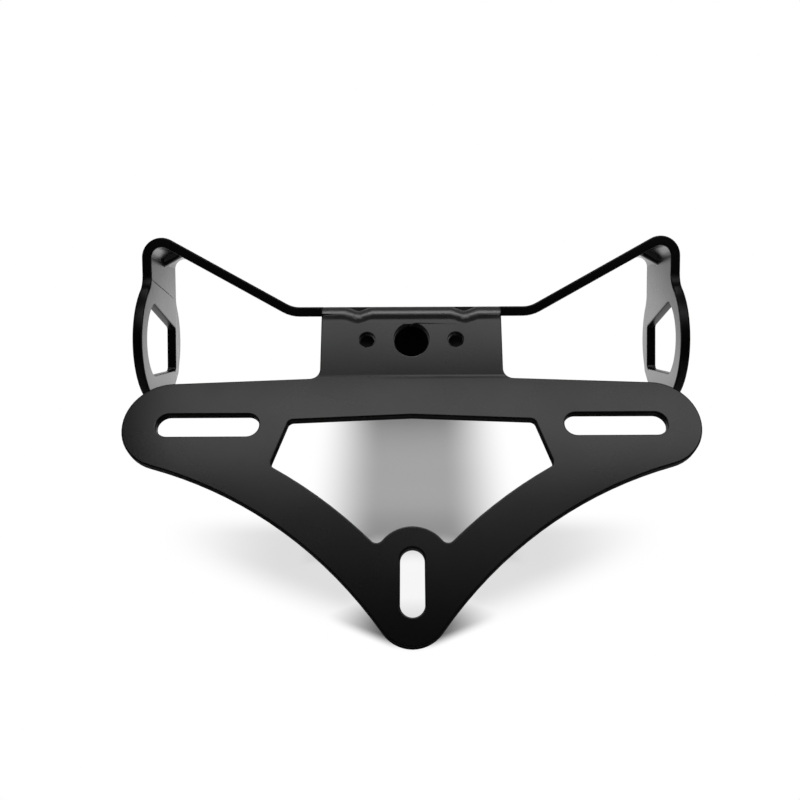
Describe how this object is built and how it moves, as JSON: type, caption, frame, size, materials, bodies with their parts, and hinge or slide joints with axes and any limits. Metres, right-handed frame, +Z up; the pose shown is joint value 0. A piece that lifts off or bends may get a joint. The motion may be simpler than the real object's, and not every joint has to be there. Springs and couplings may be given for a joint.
{
  "type": "motorbike tail tidy bracket",
  "caption": "Folded sheet bracket that hangs a slotted licence-plate panel below a motorbike's tail, with a bolt-up flange and a raised wing with an indicator ear on each side.",
  "frame": {"origin": "on the floor under the middle of the part's width and depth, as it stands on the licence-plate panel's tip and the flange's far edge", "axes": "+Z up from the floor, +X across the width, +Y towards the front of the motorbike, so the licence-plate panel faces -Y and up"},
  "size_m": [0.1718, 0.171, 0.0683],
  "materials": {
    "coat": "satin black powder coat on steel"
  },
  "bodies": {
    "root": {"bracket": "coat"}
  },
  "joints": []
}
